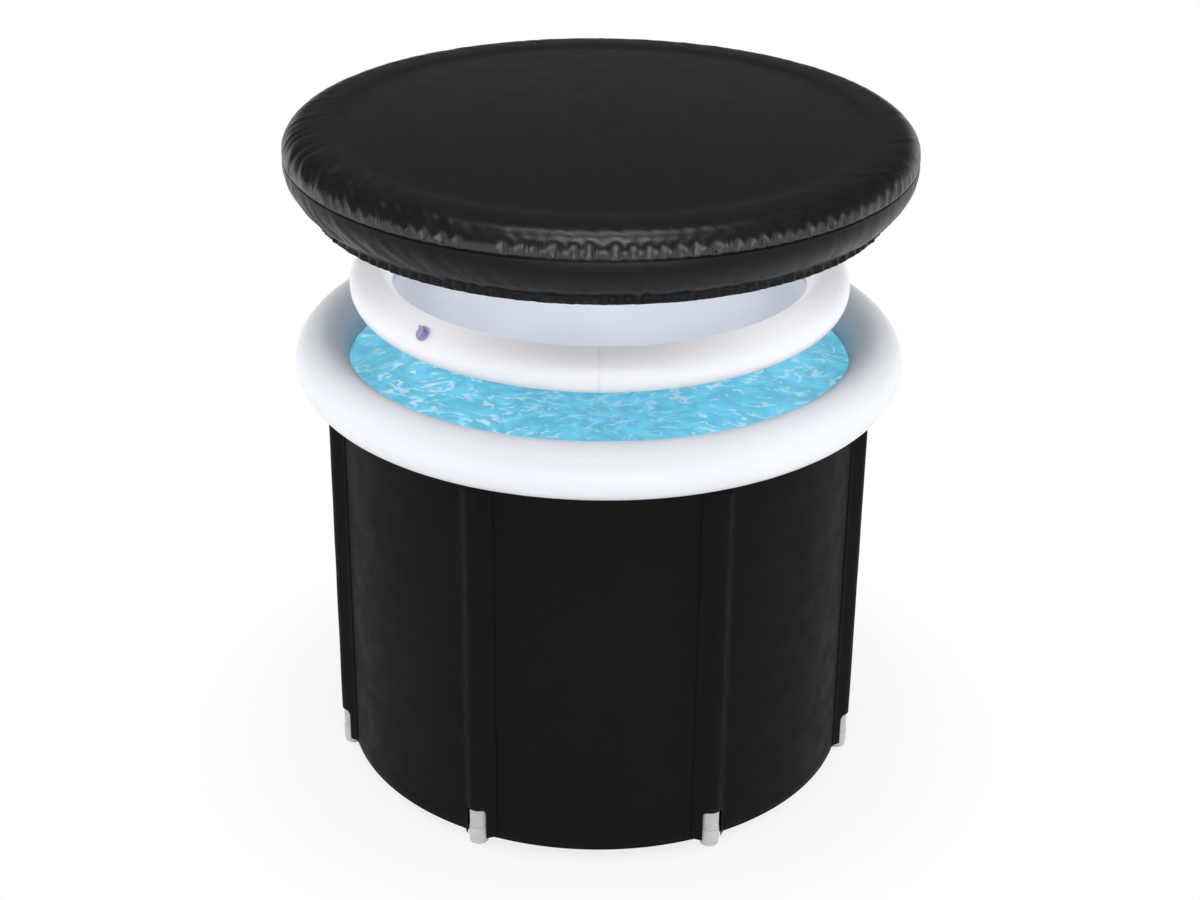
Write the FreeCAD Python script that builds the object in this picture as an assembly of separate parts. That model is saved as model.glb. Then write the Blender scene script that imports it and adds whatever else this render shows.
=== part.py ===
import FreeCAD, Part
import math
import os

from FreeCAD import Vector

# Folding bath: a soft round tub held up by seven poles in sleeves, with an inflated
# rim, an inflated lid and a gathered fabric cover. Millimetres, +Z up, the floor at
# z = 0, the front towards -Y. The lid and the cover hover above the tub.

# Tub wall, a skin, a foam core and a liner, which dip inwards behind each pole
wall_radius = 364.0
wall_foot = 14.0
wall_height = 548.0
skin_thickness = 1.2
foam_thickness = 8.0
liner_thickness = 1.2
channel_blend = 11.0

# Poles and the sleeves that hold them against the wall
pole_count = 7
pole_offset = 2.0
pole_diameter = 25.0
pole_tube_wall = 1.5
channel_play = 1.5
sleeve_thickness = 1.2
sleeve_spread = 22.4
sleeve_weld = 4.4
sleeve_top_margin = 1.5
notch_height = 47.0
notch_width = 30.0
notch_corner = 6.0
foot_height = 30.0
foot_bulge = 1.1
foot_sole_radius = 6.0
foot_sole = 5.0
foot_collar = 0.7
cap_height = 6.0
cap_spigot = 14.0
plug_play = 0.1

# Base pan, floor foam and floor sheet
base_thickness = 1.2
base_pole_gap = 9.0
base_curve = 13.0
base_corner_share = 0.72
flange_setback = 0.4
floor_foam_play = 2.0

# Inflated rim and the weld band under it
inflated_skin = 0.8
rim_overhang = 19.4
rim_tube_radius = 37.4
rim_rise = 41.0
band_inset = 13.0
band_reach = 16.0
seat_gap = 0.3

# Inflated lid, lifted clear of the rim
lid_mid_radius = 313.0
lid_tube_radius = 30.0
lid_height = 710.0
lid_floor_drop = 18.0
lid_floor_thickness = 0.8

# Cover, lifted clear of the lid: a domed top, a skirt and an elastic hem
cover_cloth = 1.0
cover_dome = 6.0
cover_flat_radius = 398.0
cover_shoulder_rise = 31.0
cover_seam_radius = 425.0
cover_skirt_drop = 61.0
cover_hem_radius = 386.5
cover_hem_width = 6.0
cover_hem_depth = 10.0
cover_hem_height = 828.0
elastic_width = 3.0
elastic_depth = 7.0

# Inflation valves of the rim and the lid
valve_flange_radius = 10.0
valve_flange_height = 1.0
valve_flange_sink = 3.0
valve_stem_radius = 5.6
valve_stem_height = 3.0
valve_bore_radius = 3.5
valve_bore_depth = 12.0
plug_head_radius = 4.8
plug_head_height = 2.0
plug_spigot_radius = 3.1
plug_spigot_length = 6.0
plug_lift = 0.1
plug_tab_length = 5.0
plug_tab_width = 3.6
plug_tab_height = 1.0
rim_valve_angle = 165.0
rim_valve_tilt = 140.0
lid_valve_angle = -42.0
lid_valve_tilt = 40.0

# Drain through the wall at the back
drain_angle = 154.3
drain_height = 48.0
drain_flange_radius = 28.0
drain_flange_height = 4.0
drain_neck_radius = 15.0
drain_bore_radius = 11.0
drain_spigot_radius = 19.0
drain_spigot_length = 22.0
drain_hole_play = 0.3
seal_radius = 25.0
seal_thickness = 1.5
seal_sink = 3.0
nut_radius = 28.0
nut_height = 8.0
nut_play = 0.1
nut_sides = 6
neck_tail = 3.0
cap_skirt_wall = 3.6
cap_end = 3.0
cap_play = 0.3
cap_rib_count = 12
cap_rib_depth = 1.2
cap_rib_radius = 2.4
washer_radius = 18.6
washer_thickness = 2.0
washer_play = 0.1

# One overrun serves every cut
overrun = 5.0

# Sizes that follow from the ones above
wall_thickness = skin_thickness + foam_thickness + liner_thickness
wall_top = wall_foot + wall_height
pole_radius = pole_diameter / 2
pole_circle_radius = wall_radius + pole_offset
channel_radius = pole_radius + channel_play
base_rim_radius = pole_circle_radius - channel_radius - base_pole_gap
base_flat_radius = base_rim_radius - base_curve
rim_mid_radius = wall_radius + rim_overhang
rim_height = wall_top + rim_rise
band_inner_radius = wall_radius - band_inset
band_outer_radius = wall_radius + band_reach
cover_seam_height = cover_hem_height + cover_hem_depth + cover_skirt_drop
cover_edge_height = cover_seam_height + cover_shoulder_rise
pole_step = 360.0 / pole_count
pole_angles = [(n + 0.5) * pole_step for n in range(pole_count)]
up = Vector(0, 0, 1)
origin = Vector(0, 0, 0)


def polar(radius, angle, z=0):
    """A point at an angle from the front, turning towards +X."""
    turn = math.radians(angle)
    return Vector(radius * math.sin(turn), -radius * math.cos(turn), z)


def unit(vector):
    return Vector(vector).normalize()


def arc(first, middle, last):
    return Part.Arc(first, middle, last).toShape()


def line(first, last):
    return Part.LineSegment(first, last).toShape()


def turned(shape, angle):
    """A copy of a piece modelled at the front, turned to its own angle."""
    copy = shape.copy()
    copy.rotate(origin, up, angle)
    return copy


def placed(shape, base, axis):
    """A copy of a piece modelled along +Z, moved to a base point and an axis."""
    copy = shape.copy()
    copy.Placement = FreeCAD.Placement(base, FreeCAD.Rotation(up, axis))
    return copy


def cylinder(radius, bottom, top):
    return Part.makeCylinder(radius, top - bottom, Vector(0, 0, bottom))


def pipe(outer, inner, bottom, top):
    bore = cylinder(inner, bottom - overrun, top + overrun)
    return cylinder(outer, bottom, top).cut(bore)


def turned_profile(edges):
    """The solid swept by a closed profile in the XZ plane turned about the Z axis."""
    face = Part.Face(Part.Wire(edges))
    return face.revolve(origin, up, 360)


def rz(radius, z):
    return Vector(radius, 0, z)


def drawn_in(upper, lower):
    """The middle of an arc that leaves its upper end straight down and draws in."""
    run = upper.x - lower.x
    drop = upper.z - lower.z
    bend = (run**2 + drop**2) / (2 * run)
    half = math.asin(drop / bend) / 2
    return rz(upper.x - bend * (1 - math.cos(half)), upper.z - bend * math.sin(half))


def fluted_outline(inset, z):
    """The wall's outline, set in by a distance, with a channel behind each pole."""
    big = wall_radius - inset
    groove = channel_radius + inset
    blend = channel_blend - inset
    hub = wall_radius - channel_blend
    reach = channel_radius + channel_blend
    cosine = (hub**2 + pole_circle_radius**2 - reach**2) / (2 * hub * pole_circle_radius)
    swing = math.degrees(math.acos(cosine))
    edges = []
    for angle in pole_angles:
        pole = polar(pole_circle_radius, angle, z)
        sides = []
        for side in (-1, 1):
            centre = polar(hub, angle + side * swing, z)
            outward = unit(polar(hub, angle + side * swing))
            to_pole = unit(pole - centre)
            sides.append(
                (
                    centre + outward * blend,
                    centre + unit(outward + to_pole) * blend,
                    pole - to_pole * groove,
                )
            )
        left, right = sides
        edges.append(arc(left[0], left[1], left[2]))
        edges.append(arc(left[2], polar(pole_circle_radius - groove, angle, z), right[2]))
        edges.append(arc(right[2], right[1], right[0]))
        middle = polar(big, angle + pole_step / 2, z)
        following = polar(big, angle + pole_step - swing, z)
        edges.append(arc(right[0], middle, following))
    return Part.Wire(Part.__sortEdges__(edges))


def wall_layer(inset, thickness):
    """One layer of the wall, with the hole that the drain passes through."""
    outer = fluted_outline(inset, wall_foot)
    inner = fluted_outline(inset + thickness, wall_foot)
    face = Part.makeFace([outer, inner], "Part::FaceMakerBullseye")
    hole = cylinder(drain_neck_radius + drain_hole_play, -wall_radius / 2, wall_radius / 2)
    return face.extrude(up * wall_height).cut(on_drain(hole))


def touch_point(point, centre, radius):
    """Where a line from a point touches a circle on the side away from the tub."""
    away = point - centre
    spread = math.acos(radius / away.Length)
    found = []
    for side in (-1, 1):
        turn = FreeCAD.Rotation(up, math.degrees(side * spread))
        found.append(centre + turn.multVec(unit(away)) * radius)
    return max(found, key=lambda spot: spot.Length)


def mirrored(point):
    return Vector(-point.x, point.y, point.z)


def sleeve():
    """A strip welded to the wall on both sides of a pole and notched at the foot."""
    pole = polar(pole_circle_radius, 0)
    near = math.degrees(sleeve_spread / wall_radius)
    far = math.degrees((sleeve_spread + sleeve_weld) / wall_radius)
    faces = []
    for lift in (0, sleeve_thickness):
        radius = wall_radius + lift
        channel = channel_radius + lift
        leave = polar(radius, near)
        touch = touch_point(leave, pole, channel)
        end = polar(radius, far)
        weld_middle = polar(radius, (near + far) / 2)
        crown = polar(pole_circle_radius + channel, 0)
        faces.append(
            (
                end,
                [
                    arc(end, weld_middle, leave),
                    line(leave, touch),
                    arc(touch, crown, mirrored(touch)),
                    line(mirrored(touch), mirrored(leave)),
                    arc(mirrored(leave), mirrored(weld_middle), mirrored(end)),
                ],
            )
        )
    (inner_end, inner), (outer_end, outer) = faces
    ends = [line(inner_end, outer_end), line(mirrored(inner_end), mirrored(outer_end))]
    strip = Part.Face(Part.Wire(Part.__sortEdges__(inner + outer + ends)))
    strip.translate(up * wall_foot)
    body = strip.extrude(up * (wall_height - sleeve_top_margin))
    depth = channel_radius + sleeve_thickness + overrun
    corner = Vector(-notch_width / 2, -pole_circle_radius - depth, wall_foot - overrun)
    notch = Part.makeBox(notch_width, depth, notch_height + overrun, corner)
    upper = [e for e in notch.Edges if is_notch_corner(e)]
    return body.cut(notch.makeFillet(notch_corner, upper))


def is_notch_corner(edge):
    """The two upper edges of the notch that run in towards the tub."""
    start, end = (v.Point for v in edge.Vertexes)
    level = wall_foot + notch_height
    runs_in = abs(start.y - end.y) > overrun
    return runs_in and math.isclose(start.z, level)


def pole_pieces():
    """A tube, its rounded foot and its top cap, standing on the Z axis."""
    top = wall_top
    tube = pipe(pole_radius, pole_radius - pole_tube_wall, foot_sole, top - cap_height)
    neck = pole_radius + foot_collar
    wide = pole_radius + foot_bulge
    socket = pole_radius + plug_play
    belly = rz(wide, foot_height / 2)
    sole = rz(foot_sole_radius, 0)
    foot = turned_profile(
        [
            line(rz(0, 0), sole),
            arc(sole, drawn_in(belly, sole), belly),
            line(belly, rz(neck, foot_height)),
            line(rz(neck, foot_height), rz(socket, foot_height)),
            line(rz(socket, foot_height), rz(socket, foot_sole)),
            line(rz(socket, foot_sole), rz(0, foot_sole)),
            line(rz(0, foot_sole), rz(0, 0)),
        ]
    )
    spigot = pole_radius - pole_tube_wall - plug_play
    cap = cylinder(pole_radius, top - cap_height, top)
    cap = cap.makeFillet(cap_height / 3, [cap.Edges[0]])
    cap = cap.fuse(cylinder(spigot, top - cap_height - cap_spigot, top - cap_height))
    return {"tube": tube, "foot": foot, "cap": cap.removeSplitter()}


def base_panel():
    """A shallow pan that lies on the floor, with a flange welded under the wall."""
    flange_bottom = wall_foot - base_thickness
    rise_radius = base_flat_radius + (base_rim_radius - base_flat_radius) * base_corner_share
    rise_height = flange_bottom * (1 - base_corner_share)
    inner_flat = base_flat_radius - base_thickness
    inner_rim = base_rim_radius - base_thickness
    inner_rise = rise_radius - base_thickness
    pan = turned_profile(
        [
            line(rz(0, 0), rz(base_flat_radius, 0)),
            arc(
                rz(base_flat_radius, 0),
                rz(rise_radius, rise_height),
                rz(base_rim_radius, flange_bottom),
            ),
            line(rz(base_rim_radius, flange_bottom), rz(base_rim_radius, wall_foot)),
            line(rz(base_rim_radius, wall_foot), rz(inner_rim, wall_foot)),
            arc(
                rz(inner_rim, wall_foot),
                rz(inner_rise, rise_height + base_thickness),
                rz(inner_flat, base_thickness),
            ),
            line(rz(inner_flat, base_thickness), rz(0, base_thickness)),
            line(rz(0, base_thickness), rz(0, 0)),
        ]
    )
    outline = Part.Face(fluted_outline(flange_setback, flange_bottom))
    hole = cylinder(inner_rim, -overrun, wall_foot + overrun)
    flange = outline.extrude(up * base_thickness).cut(hole)
    return pan.fuse(flange).removeSplitter()


def floor_foam():
    return cylinder(base_flat_radius - floor_foam_play, base_thickness, wall_foot)


def floor_liner():
    sheet = Part.Face(fluted_outline(wall_thickness, wall_foot))
    return sheet.extrude(up * liner_thickness)


def torus(mid_radius, tube_radius, z):
    return Part.makeTorus(mid_radius, tube_radius, Vector(0, 0, z))


def inflated_ring(mid_radius, tube_radius, z, valve_angle, valve_tilt):
    """A hollow inflated ring with an air hole under its valve."""
    ring = torus(mid_radius, tube_radius, z)
    ring = ring.cut(torus(mid_radius, tube_radius - inflated_skin, z))
    hole = cylinder(valve_bore_radius, -valve_bore_depth, valve_flange_height)
    return ring.cut(on_tube(hole, mid_radius, tube_radius, z, valve_angle, valve_tilt))


def on_tube(shape, mid_radius, tube_radius, z, angle, tilt):
    """Moves a valve piece from the Z axis to its place on an inflated ring."""
    slope = math.radians(tilt)
    out = math.cos(slope)
    rise = math.sin(slope)
    base = polar(mid_radius + tube_radius * out, angle, z + tube_radius * rise)
    return placed(shape, base, polar(out, angle, rise))


def valve_body():
    """A welded flange and a short stem with a bore, along +Z from the ring's skin."""
    top = valve_flange_height + valve_stem_height
    flange = cylinder(valve_flange_radius, -valve_flange_sink, valve_flange_height)
    stem = cylinder(valve_stem_radius, -valve_flange_sink, top)
    bore = cylinder(valve_bore_radius, -valve_bore_depth, top + overrun)
    return flange.fuse(stem).removeSplitter().cut(bore)


def valve_plug():
    """A push-in plug with a pull tab, seated on the valve's stem."""
    seat = valve_flange_height + valve_stem_height + plug_lift
    head = cylinder(plug_head_radius, seat, seat + plug_head_height)
    spigot = cylinder(plug_spigot_radius, seat - plug_spigot_length, seat)
    corner = Vector(-plug_tab_width / 2, 0, seat)
    length = plug_head_radius + plug_tab_length
    tab = Part.makeBox(plug_tab_width, length, plug_tab_height, corner)
    return head.fuse([spigot, tab]).removeSplitter()


def rim_band():
    """The black weld band between the wall's top edge and the rim."""
    bottom = wall_top + seat_gap
    band = pipe(band_outer_radius, band_inner_radius, bottom, rim_height)
    return band.cut(torus(rim_mid_radius, rim_tube_radius, rim_height))


def lid_floor():
    """The lid's floor sheet, welded low on the inside of the lid's ring."""
    top = lid_height - lid_floor_drop
    sheet = cylinder(lid_mid_radius, top - lid_floor_thickness, top)
    return sheet.cut(torus(lid_mid_radius, lid_tube_radius, lid_height))


def cover_section(inset):
    """Half sections of the cover's top and skirt, set in by a distance."""
    crown = rz(0, cover_edge_height + cover_dome - inset)
    edge = rz(cover_flat_radius, cover_edge_height - inset)
    seam = rz(cover_seam_radius - inset, cover_seam_height)
    hem = rz(cover_hem_radius - inset + cover_cloth / 2, cover_hem_height + cover_hem_depth)
    dome_middle = rz(cover_flat_radius / 2, cover_edge_height + cover_dome * 3 / 4 - inset)
    fall = math.sin(math.radians(45))
    shoulder = edge + Vector((seam.x - edge.x) * fall, 0, (seam.z - edge.z) * (1 - fall))
    return {
        "top": [(crown, dome_middle, edge), (edge, shoulder, seam)],
        "skirt": [(seam, drawn_in(seam, hem), hem)],
    }


def cover_panel(name):
    """A panel of the cover: its outer and inner sections, closed and turned."""
    outer = cover_section(0)[name]
    inner = cover_section(cover_cloth)[name]
    edges = [arc(*points) for points in outer + inner]
    edges.append(line(outer[0][0], inner[0][0]))
    edges.append(line(outer[-1][2], inner[-1][2]))
    return turned_profile(Part.__sortEdges__(edges))


def hem_ring(width, depth):
    """A square-edged ring centred in the hem."""
    middle = cover_hem_height + cover_hem_depth / 2
    return pipe(
        cover_hem_radius + width / 2,
        cover_hem_radius - width / 2,
        middle - depth / 2,
        middle + depth / 2,
    )


def cover_hem():
    """The folded casing that the elastic runs in."""
    room = cover_cloth * 2
    hollow = hem_ring(cover_hem_width - room, cover_hem_depth - room)
    return hem_ring(cover_hem_width, cover_hem_depth).cut(hollow)


def on_drain(shape):
    """Moves a drain piece from the Z axis to its place through the wall."""
    base = polar(wall_radius, drain_angle, drain_height)
    return placed(shape, base, polar(1, drain_angle))


def drain_pieces():
    """The drain's pieces along +Z, with z = 0 on the outside of the wall."""
    flange_top = seal_thickness + drain_flange_height
    spigot_top = flange_top + drain_spigot_length
    inside = -wall_thickness - seal_thickness
    tail = inside - nut_height - neck_tail
    body = cylinder(drain_neck_radius, tail, seal_thickness)
    body = body.fuse(cylinder(drain_flange_radius, seal_thickness, flange_top))
    body = body.fuse(cylinder(drain_spigot_radius, flange_top, spigot_top))
    bore = cylinder(drain_bore_radius, tail - overrun, spigot_top + overrun)
    seal = pipe(seal_radius, drain_neck_radius, -seal_sink, seal_thickness)
    inner_seal = pipe(seal_radius, drain_neck_radius, inside, -wall_thickness + seal_sink)
    corners = []
    for n in range(nut_sides):
        turn = FreeCAD.Rotation(up, 360.0 * n / nut_sides)
        corners.append(turn.multVec(rz(nut_radius, inside)))
    nut = Part.Face(Part.makePolygon(corners + corners[:1])).extrude(up * -nut_height)
    nut_bore = cylinder(drain_neck_radius + nut_play, tail - overrun, 0)
    washer_bottom = spigot_top + washer_play
    washer_top = washer_bottom + washer_thickness
    cap_radius = drain_spigot_radius + cap_play + cap_skirt_wall
    cap_bottom = flange_top + cap_play
    cap_inside = washer_top + washer_play
    cap = cylinder(cap_radius, cap_bottom, cap_inside + cap_end)
    cap = cap.cut(cylinder(drain_spigot_radius + cap_play, cap_bottom - overrun, cap_inside))
    grips = []
    for n in range(cap_rib_count):
        spot = polar(cap_radius + cap_rib_radius - cap_rib_depth, 360.0 * n / cap_rib_count)
        height = cap_inside + cap_end + overrun - cap_bottom
        base = Vector(spot.x, spot.y, cap_bottom - overrun / 2)
        grips.append(Part.makeCylinder(cap_rib_radius, height, base))
    return {
        "drain_body": body.cut(bore),
        "drain_seal_outer": seal,
        "drain_seal_inner": inner_seal,
        "drain_nut": nut.cut(nut_bore),
        "drain_washer": cylinder(washer_radius, washer_bottom, washer_top),
        "drain_cap": cap.cut(grips),
    }


def fitted_drain():
    """The drain's pieces in place, with the seals shaped to the curved wall."""
    pieces = {name: on_drain(shape) for name, shape in drain_pieces().items()}
    outside = cylinder(wall_radius, -overrun, wall_top)
    inside = cylinder(wall_radius - wall_thickness, -overrun, wall_top)
    pieces["drain_seal_outer"] = pieces["drain_seal_outer"].cut(outside)
    pieces["drain_seal_inner"] = pieces["drain_seal_inner"].common(inside)
    return pieces


def ring_with_valve(name, mid_radius, tube_radius, z, angle, tilt):
    """An inflated ring, its valve and its plug."""
    tube = torus(mid_radius, tube_radius, z)
    body = on_tube(valve_body(), mid_radius, tube_radius, z, angle, tilt).cut(tube)
    return {
        f"{name}_ring": inflated_ring(mid_radius, tube_radius, z, angle, tilt),
        f"{name}_valve": body,
        f"{name}_plug": on_tube(valve_plug(), mid_radius, tube_radius, z, angle, tilt),
    }


def build():
    parts = {
        "outer_skin": wall_layer(0, skin_thickness),
        "wall_foam": wall_layer(skin_thickness, foam_thickness),
        "inner_liner": wall_layer(skin_thickness + foam_thickness, liner_thickness),
        "base_panel": base_panel(),
        "floor_foam": floor_foam(),
        "floor_liner": floor_liner(),
        "rim_band": rim_band(),
        "lid_floor": lid_floor(),
        "cover_top": cover_panel("top"),
        "cover_skirt": cover_panel("skirt"),
        "cover_hem": cover_hem(),
        "cover_elastic": hem_ring(elastic_width, elastic_depth),
    }
    rim = (rim_mid_radius, rim_tube_radius, rim_height, rim_valve_angle, rim_valve_tilt)
    lid = (lid_mid_radius, lid_tube_radius, lid_height, lid_valve_angle, lid_valve_tilt)
    parts.update(ring_with_valve("rim", *rim))
    parts.update(ring_with_valve("lid", *lid))
    parts.update(fitted_drain())
    strip = sleeve()
    pole = pole_pieces()
    for number, angle in enumerate(pole_angles, 1):
        parts[f"sleeve_{number}"] = turned(strip, angle)
        for piece, shape in pole.items():
            standing = shape.copy()
            standing.translate(polar(pole_circle_radius, 0))
            parts[f"pole_{piece}_{number}"] = turned(standing, angle)
    return parts


os.makedirs("parts", exist_ok=True)
for node, shape in build().items():
    shape.exportStep(f"parts/{node}.step")
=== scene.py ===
import math

import bmesh
import bpy
import numpy as np
from bpy.props import FloatProperty, FloatVectorProperty, IntProperty, PointerProperty
from bpy.types import Operator, Panel, PropertyGroup
from mathutils import Matrix, Vector, noise


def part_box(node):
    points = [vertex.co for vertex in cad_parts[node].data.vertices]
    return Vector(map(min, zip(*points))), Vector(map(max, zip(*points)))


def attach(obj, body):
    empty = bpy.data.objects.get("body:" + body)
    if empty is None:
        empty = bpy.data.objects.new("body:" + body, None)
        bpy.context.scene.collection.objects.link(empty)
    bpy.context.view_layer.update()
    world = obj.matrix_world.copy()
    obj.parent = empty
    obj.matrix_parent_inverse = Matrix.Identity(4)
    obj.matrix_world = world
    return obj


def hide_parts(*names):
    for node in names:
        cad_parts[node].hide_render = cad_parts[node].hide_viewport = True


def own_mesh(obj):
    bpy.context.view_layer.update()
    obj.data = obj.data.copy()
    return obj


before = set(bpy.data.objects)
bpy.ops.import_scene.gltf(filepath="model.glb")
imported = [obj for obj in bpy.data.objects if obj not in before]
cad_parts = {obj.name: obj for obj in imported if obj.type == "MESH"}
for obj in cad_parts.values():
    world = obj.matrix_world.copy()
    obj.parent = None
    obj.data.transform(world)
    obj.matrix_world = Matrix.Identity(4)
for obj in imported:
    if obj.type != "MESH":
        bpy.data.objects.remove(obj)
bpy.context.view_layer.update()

bl_info = {
    "name": "Folding Bath",
    "version": (1, 0, 0),
    "blender": (4, 5, 0),
    "location": "View3D > Sidebar > Folding Bath",
    "description": "Dresses a folding bath with its wall, poles, inflated rim, lid and gathered cover",
    "category": "Object",
}

TURN = math.tau
POLES = 7
STEP = TURN / POLES
WALL_LOW, WALL_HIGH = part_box("outer_skin")
RIM_LOW, RIM_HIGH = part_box("rim_ring")
BAND_LOW, BAND_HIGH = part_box("rim_band")
LID_LOW, LID_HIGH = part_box("lid_ring")
LID_SHEET_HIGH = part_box("lid_floor")[1]
CROWN_LOW, CROWN_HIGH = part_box("cover_top")
HEM_LOW, HEM_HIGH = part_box("cover_hem")
WASHER_LOW, WASHER_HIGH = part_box("drain_washer")
RIM_TUBE = (RIM_HIGH.z - RIM_LOW.z) / 2
LID_TUBE = (LID_HIGH.z - LID_LOW.z) / 2
# Rows and columns of the larger meshes
WALL_ROWS = 57
RING_COLUMNS = 420
COVER_COLUMNS = 1200
# Small lengths of single pieces, in metres
DRAIN_HOLE = 0.0165
BAND_DEPTH = 0.013
PAD_ROUNDING = 0.002
LID_SHEET_THICKNESS = 0.0008
SEAM_TUCK = 0.0012
SLEEVE_MARGIN = 0.0015
CLEARANCE = 0.0004
HAIRLINE = 0.0001
# Name, power setting, size, place, target and whether reflections show the lamp
LAMPS = (
    ("key_softbox", "key_power", (1.2, 0.42), (0, -1.5, 3.3), (0, 0, 0.7), True),
    ("front_fill", "fill_power", (3.0, 1.6), (0.2, -3.4, 0.85), (0, 0, 0.5), True),
    ("top_softbox", "top_power", (1.2, 0.22), (0, 0.05, 3.1), (0, 0, 0.9), True),
    ("left_fill", "side_power", (1.2, 1.6), (-2.4, 0.1, 1.4), (0, 0, 0.6), False),
    ("right_fill", "side_power", (1.2, 1.6), (2.4, 0.1, 1.4), (0, 0, 0.6), False),
    ("lid_fill", "under_power", (0.56, 0.56), (0, 0, 0.86), (0, 0, 0.6), False),
)


class TubSizes(PropertyGroup):
    """Sizes of the tub's wall, sleeves and base"""

    wall_radius: FloatProperty(
        name="Wall radius", description="Outside radius of the wall between the poles",
        default=WALL_HIGH.x, unit="LENGTH")
    wall_foot: FloatProperty(
        name="Wall foot", description="Height of the wall's lower edge",
        default=WALL_LOW.z, unit="LENGTH")
    wall_top: FloatProperty(
        name="Wall top", description="Height of the wall's upper edge",
        default=WALL_HIGH.z, unit="LENGTH")
    wall_thickness: FloatProperty(
        name="Wall thickness", description="Black skin and foam core together",
        default=0.0092, unit="LENGTH")
    lining: FloatProperty(
        name="Sheet thickness", description="Thickness of the lining, the base and the floor sheet",
        default=0.0012, unit="LENGTH")
    crease: FloatProperty(
        name="Crease depth", description="Depth of the soft creases in the wall",
        default=0.00022, unit="LENGTH")
    pole_circle: FloatProperty(
        name="Pole circle", description="Radius of the circle that the poles stand on",
        default=WALL_HIGH.x + 0.002, unit="LENGTH")
    channel_radius: FloatProperty(
        name="Channel radius", description="Radius of the channel behind each pole",
        default=0.014, unit="LENGTH")
    channel_blend: FloatProperty(
        name="Channel blend", description="Rounding between the wall and a channel",
        default=0.011, unit="LENGTH")
    sleeve_spread: FloatProperty(
        name="Sleeve spread", description="Distance from a pole to the sleeve's weld",
        default=0.0224, unit="LENGTH")
    sleeve_weld: FloatProperty(
        name="Sleeve weld", description="Width of the strip that is welded to the wall",
        default=0.0044, unit="LENGTH")
    notch_width: FloatProperty(
        name="Notch width", description="Width of the opening at a sleeve's foot",
        default=0.030, unit="LENGTH")
    notch_height: FloatProperty(
        name="Notch height", description="Height of the opening at a sleeve's foot",
        default=0.047, unit="LENGTH")
    notch_corner: FloatProperty(
        name="Notch corner", description="Rounding of the opening's upper corners",
        default=0.006, unit="LENGTH")
    pan_flat: FloatProperty(
        name="Pan flat", description="Radius of the flat that lies on the floor",
        default=0.330, unit="LENGTH")
    pan_rim: FloatProperty(
        name="Pan rim", description="Radius at which the pan meets its flange",
        default=0.343, unit="LENGTH")
    water_depth: FloatProperty(
        name="Water depth", description="Height of the water's surface",
        default=0.588, unit="LENGTH")


class RingSizes(PropertyGroup):
    """Sizes of the inflated rim and of the inflated lid"""

    rim_radius: FloatProperty(
        name="Rim radius", description="Radius of the middle of the rim's tube",
        default=RIM_HIGH.x - RIM_TUBE, unit="LENGTH")
    rim_tube: FloatProperty(
        name="Rim tube", description="Radius of the rim's tube",
        default=RIM_TUBE, unit="LENGTH")
    rim_height: FloatProperty(
        name="Rim height", description="Height of the middle of the rim's tube",
        default=(RIM_HIGH.z + RIM_LOW.z) / 2, unit="LENGTH")
    lid_radius: FloatProperty(
        name="Lid radius", description="Radius of the middle of the lid's tube",
        default=LID_HIGH.x - LID_TUBE, unit="LENGTH")
    lid_tube: FloatProperty(
        name="Lid tube", description="Radius of the lid's tube",
        default=LID_TUBE, unit="LENGTH")
    lid_height: FloatProperty(
        name="Lid height", description="Height of the middle of the lid's tube",
        default=(LID_HIGH.z + LID_LOW.z) / 2, unit="LENGTH")
    sheet_height: FloatProperty(
        name="Sheet height", description="Height of the lid's sheet at its weld",
        default=LID_SHEET_HIGH.z, unit="LENGTH")
    sheet_sag: FloatProperty(
        name="Sheet sag", description="How far the lid's sheet hangs in the middle",
        default=0.004, unit="LENGTH")
    pucker: FloatProperty(
        name="Pucker depth", description="Depth of the small puckers along a weld",
        default=0.0009, unit="LENGTH")


class CoverSizes(PropertyGroup):
    """Sizes of the gathered cover"""

    flat_radius: FloatProperty(
        name="Flat radius", description="Radius of the cover's flat top",
        default=CROWN_HIGH.x - 0.027, unit="LENGTH")
    dome: FloatProperty(
        name="Dome", description="Rise of the flat top in its middle",
        default=0.006, unit="LENGTH")
    crown_height: FloatProperty(
        name="Crown height", description="Height of the middle of the top",
        default=CROWN_HIGH.z, unit="LENGTH")
    seam_radius: FloatProperty(
        name="Seam radius", description="Radius of the seam between top and skirt",
        default=CROWN_HIGH.x, unit="LENGTH")
    seam_height: FloatProperty(
        name="Seam height", description="Height of the seam between top and skirt",
        default=CROWN_LOW.z, unit="LENGTH")
    hem_width: FloatProperty(
        name="Hem width", description="Thickness of the hem's casing",
        default=0.006, unit="LENGTH")
    hem_radius: FloatProperty(
        name="Hem radius", description="Radius of the middle of the elastic hem",
        default=HEM_HIGH.x - 0.003, unit="LENGTH")
    hem_low: FloatProperty(
        name="Hem low edge", description="Height of the hem's lower edge",
        default=HEM_LOW.z, unit="LENGTH")
    hem_high: FloatProperty(
        name="Hem high edge", description="Height of the hem's upper edge",
        default=HEM_HIGH.z, unit="LENGTH")
    fullness: FloatProperty(
        name="Fullness", description="Extra cloth that is gathered into the seam",
        default=0.14, subtype="FACTOR", min=0, max=1)
    cloth: FloatProperty(
        name="Cloth", description="Thickness of the cover's cloth",
        default=0.001, unit="LENGTH")
    settle_steps: IntProperty(
        name="Settle steps", description="Steps in which the gathers form", default=260, min=1)


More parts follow.
